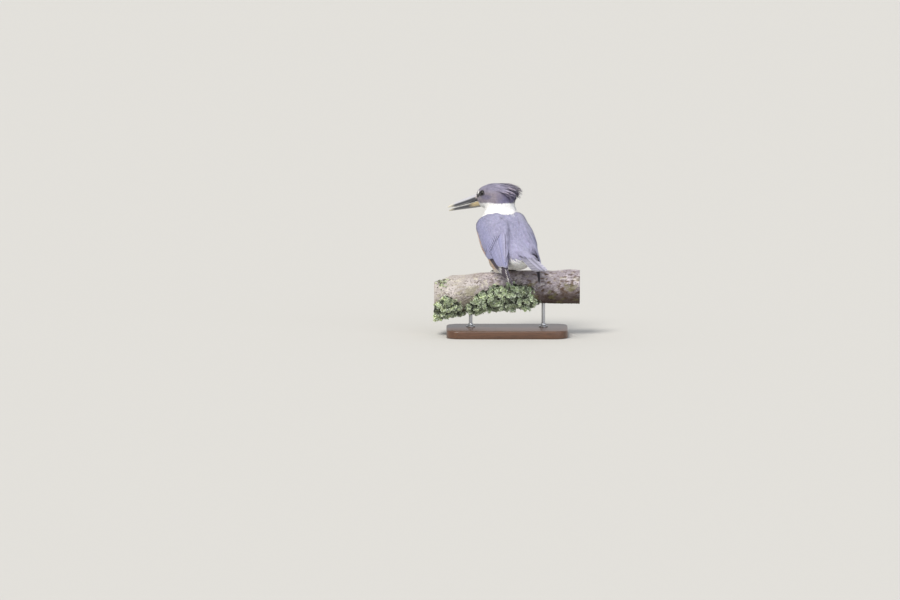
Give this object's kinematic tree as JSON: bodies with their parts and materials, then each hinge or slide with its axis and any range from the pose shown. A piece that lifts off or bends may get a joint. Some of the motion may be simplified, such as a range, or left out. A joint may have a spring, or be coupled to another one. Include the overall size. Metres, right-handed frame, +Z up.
{
  "type": "kingfisher model",
  "caption": "Life-size belted kingfisher, perched on a cut length of lichen-covered branch on a display stand, head turned to its left with the bill slightly open.",
  "frame": {"origin": "centre of the underside of the stand's base, on the floor", "axes": "+Z up; the branch runs along X, rising towards +X; the bird's tail points towards -Y and +X and its bill towards -X and +Y"},
  "size_m": [0.24, 0.1908, 0.2494],
  "materials": {
    "body_plumage": "soft matt feathers, blue-grey above, rusty and white below",
    "white_plumage": "soft matt white feathers",
    "flight_feathers": "smooth close-webbed feathers with a slight sheen",
    "tail_feathers": "smooth close-webbed feathers with a slight sheen",
    "bill_horn": "smooth dark horn with a satin gloss",
    "eye": "wet gloss, very dark brown",
    "foot_skin": "scaled dark greyish skin",
    "claw_horn": "smooth black horn",
    "bark": "rough grey-brown bark with pale green leafy lichen",
    "stand_wood": "dark stained wood, satin varnish",
    "stand_steel": "fine brushed"
  },
  "bodies": {
    "root": {"torso": "body_plumage", "neck": "white_plumage", "head": "body_plumage", "bill_upper": "bill_horn", "bill_lower": "bill_horn", "eye_left": "eye", "eye_right": "eye", "wing_left": "flight_feathers", "wing_right": "flight_feathers", "tail": "tail_feathers", "leg_left": "foot_skin", "leg_right": "foot_skin", "foot_left": "foot_skin", "foot_right": "foot_skin", "claw_left_inner": "claw_horn", "claw_left_middle": "claw_horn", "claw_left_outer": "claw_horn", "claw_left_hind": "claw_horn", "claw_right_inner": "claw_horn", "claw_right_middle": "claw_horn", "claw_right_outer": "claw_horn", "claw_right_hind": "claw_horn", "perch": "bark", "stand_base": "stand_wood", "stand_rod_1": "stand_steel", "stand_rod_2": "stand_steel"}
  },
  "joints": []
}
